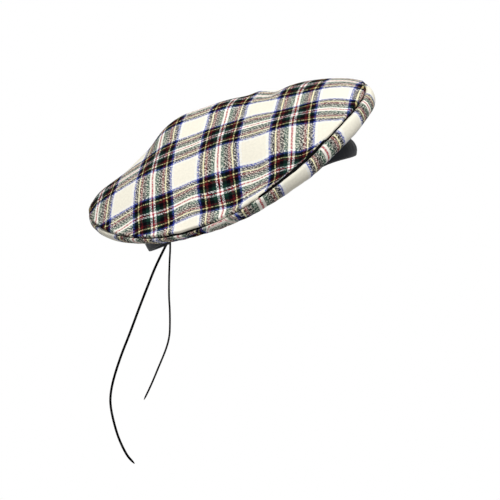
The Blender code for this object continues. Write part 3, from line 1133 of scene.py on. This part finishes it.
def make_seam_painted_shade_sheet(material):
    """A narrow black sheet in the seam between the crown and the strip: painted shade that stands
    for the dark shadow in the seam's gap.
    """
    azimuth = np.arange(SIDE_SEGMENTS) * 2 * math.pi / SIDE_SEGMENTS
    rim = crown_point(np.ones_like(azimuth), azimuth)
    rim[:, 2] += PUCKER_RISE * seam_pucker(azimuth)
    outward = outward_at(azimuth)
    gape = seam_gape(azimuth)
    sections = []
    for place in SEAM_SHADE_PLACES:
        section = rim + place.outward * outward
        section[:, 2] += place.up + place.opening * gape
        sections.append(worn(section))
    mesh, rings = skin(sections)
    face_outwards(mesh, rings[len(rings) // 2][0], outward[0])
    painted_shade_sheet = finished("seam_painted_shade_sheet", mesh, material)
    wall(painted_shade_sheet, SEAM_SHADE_THICKNESS * MM)
    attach(painted_shade_sheet, "root")


# ---------- headband ----------

# The headband's section, outward and up: from the foot of its outside over the top to the foot
# of its inside.
BAND_OUTLINE = [
    (-0.9, 0), (-0.35, 0.15), (-0.05, 0.6), (0.1, 1.6), (0.35, 4), (0.5, 7), (0.5, 10),
    (0.4, 12.6), (0.15, 14.2), (0.28, 14.8), (0.2, 15.8), (-0.1, 16.6), (-0.6, 17),
    (-1.5, 17.1), (-2.4, 17), (-2.9, 16.4), (-3, 15), (-3.05, 12), (-3.1, 8.5), (-3.05, 5),
    (-3, 2), (-2.9, 0.6), (-2.4, 0),
]
BAND_SEGMENTS = 420
CREASE_DEPTH = 0.22
CREASE_INSIDE = -0.6  # the inside's share of it
FRONT_BULGE = 3.4  # how far the middle of the front stands out
FRONT_BULGE_REACH = 32
BULGE_SHAPE = ((0, 4, 8, 12, 17), (0.15, 0.75, 1.0, 0.8, 0.3))  # heights, and shares there
END_RIM = 0.55  # round the recess in each end that a cord comes out of
END_RECESS = 4

STITCH_PITCH = 3.3
STITCH_LINES = ((0.22, 14.3), (-3.05, 14.3))  # outward and up, outside and inside
STITCH_HALF_SIZES = (1.15, 0.24, 0.27)


def make_headband(leather, thread):
    speed = math.hypot(BAND_HALF_WIDTH * math.cos(TIE_AZIMUTH),
                       BAND_HALF_LENGTH * math.sin(TIE_AZIMUTH))
    half_gap = 0.5 * TIE_GAP / speed
    start = TIE_AZIMUTH + half_gap
    azimuths = np.linspace(start, start + 2 * (math.pi - half_gap), BAND_SEGMENTS + 1)
    outline = np.array(BAND_OUTLINE, float)
    crease = (uneven_round(azimuths, count=60, seed=11)
              + 0.6 * uneven_round(azimuths, count=140, seed=12))
    sections = []
    for n, angle in enumerate(azimuths):
        bulge = np.sin(np.clip(outline[:, 1] / BAND_HEIGHT, 0, 1) * math.pi)
        side = np.where(outline[:, 0] > -0.5 * BAND_THICKNESS, 1.0, CREASE_INSIDE)
        push = CREASE_DEPTH * crease[n] * bulge * side
        front = FRONT_BULGE * bump(angle, 0, FRONT_BULGE_REACH)
        push = push + front * np.interp(outline[:, 1], *BULGE_SHAPE)
        sections.append(worn(rolled(band_point(outline[:, 0] + push, outline[:, 1], angle))))
    mesh, rings = skin(sections)
    for ring, further in ((rings[0], rings[3]), (rings[-1], rings[-4])):
        cap = mesh.faces.new(ring)
        cap.normal_update()
        bmesh.ops.inset_individual(mesh, faces=[cap], thickness=END_RIM * MM)
        inward = np.array(further[0].co) - np.array(ring[0].co)
        inward *= END_RECESS * MM / np.linalg.norm(inward)
        made = bmesh.ops.extrude_discrete_faces(mesh, faces=[cap])["faces"]
        bmesh.ops.translate(mesh, vec=inward, verts=made[0].verts)
    bmesh.ops.recalc_face_normals(mesh, faces=mesh.faces)
    band = finished("leather_band", mesh, leather)
    band.data.set_sharp_from_angle(angle=math.radians(60))
    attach(band, "root")
    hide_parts("headband")
    make_stitches(azimuths, thread)


def make_stitches(azimuths, thread):
    """A row of thread stitches just under the top of the headband, outside and inside."""
    mesh = bmesh.new()
    sizes = [half * MM for half in STITCH_HALF_SIZES]
    for outward, up in STITCH_LINES:
        line = rolled(band_point(outward, up, azimuths))
        walked = walked_along(line)
        for middle in np.arange(STITCH_PITCH, walked[-1] - 2, STITCH_PITCH):
            place = [np.interp(middle, walked, axis) for axis in line.T]
            ahead = [np.interp(middle + 0.5, walked, axis) for axis in line.T]
            forward = Vector(worn(np.array(ahead)) - worn(np.array(place))).normalized()
            turn = forward.to_track_quat("X", "Z").to_matrix().to_4x4()
            shape = (Matrix.Translation(worn(np.array(place))) @ turn
                     @ Matrix.Diagonal((*sizes, 1)))
            bmesh.ops.create_icosphere(mesh, subdivisions=1, radius=1, matrix=shape)
    stitches = finished("band_stitches", mesh, thread)
    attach(stitches, "root")


# ---------- floor and light ----------


def show_to_camera(tree, lit, shown, output):
    """The camera sees one shader, and everything else meets the other."""
    path = tree.nodes.new("ShaderNodeLightPath")
    choice = tree.nodes.new("ShaderNodeMixShader")
    tree.links.new(path.outputs["Is Camera Ray"], choice.inputs[0])
    tree.links.new(lit.outputs[0], choice.inputs[1])
    tree.links.new(shown.outputs[0], choice.inputs[2])
    tree.links.new(choice.outputs[0], tree.nodes[output].inputs["Surface"])


FLOOR_HEIGHT = -0.262
FLOOR_HALF_SIZE = 30
AROUND_LIGHT = 0.38
OVERHEAD_LIGHT = 2.95
OVERHEAD_FROM = (-0.18, -0.1, 1)
OVERHEAD_SPREAD = math.radians(50)


def make_floor():
    mesh = bmesh.new()
    bmesh.ops.create_grid(mesh, x_segments=1, y_segments=1, size=FLOOR_HALF_SIZE)
    bmesh.ops.translate(mesh, vec=(0, 0, FLOOR_HEIGHT), verts=mesh.verts)
    material, tree, shader = bare_material("pale_floor", roughness=0.9, specular=0.0)
    shader.inputs["Base Color"].default_value = (0.35, 0.35, 0.35, 1)
    shine = tree.nodes.new("ShaderNodeEmission")
    shine.inputs["Strength"].default_value = 1.0
    show_to_camera(tree, shader, shine, "Material Output")
    floor = finished("floor", mesh, material)


def make_lights():
    world = bpy.data.worlds.new("studio")
    bpy.context.scene.world = world
    world.use_nodes = True
    tree = world.node_tree
    background = tree.nodes["Background"]
    background.inputs["Color"].default_value = (1, 1, 1, 1)
    background.inputs["Strength"].default_value = AROUND_LIGHT
    white = tree.nodes.new("ShaderNodeBackground")
    white.inputs["Color"].default_value = (1, 1, 1, 1)
    white.inputs["Strength"].default_value = 1.0
    show_to_camera(tree, background, white, "World Output")
    data = bpy.data.lights.new("overhead", "SUN")
    data.energy = OVERHEAD_LIGHT
    data.angle = OVERHEAD_SPREAD
    sun = placed("overhead", data)
    sun.rotation_euler = Vector(OVERHEAD_FROM).to_track_quat("Z", "Y").to_euler()


def main():
    bpy.context.scene.view_settings.view_transform = "Standard"
    make_camera()
    cord_finish = make_cord_material()
    make_cord("tie_cord_long", LONG_ROUTE, LONG_CORD_DIAMETER, cord_finish)
    make_cord("tie_cord_short", SHORT_ROUTE, SHORT_CORD_DIAMETER, cord_finish)
    twill = make_cloth_group(make_stripe_group())
    crown_finish = make_cloth_material("crown_tartan", twill, CROWN_SPAN, (0, 0),
                                       CROWN_WARP_SHARE)
    strip_middle = [(0.5 - place) * STRIP_SPAN for place in STRIP_CROSSING]
    side_finish = make_cloth_material("side_tartan", twill, STRIP_SPAN, strip_middle,
                                      STRIP_WARP_SHARE)
    make_crown(crown_finish)
    make_side(side_finish)
    thread = make_thread_material()
    # a black sheet of painted shade in the seam, in the thread's material
    make_seam_painted_shade_sheet(thread)
    make_headband(make_leather_material(make_leather_group()), thread)
    make_floor()
    make_lights()


main()
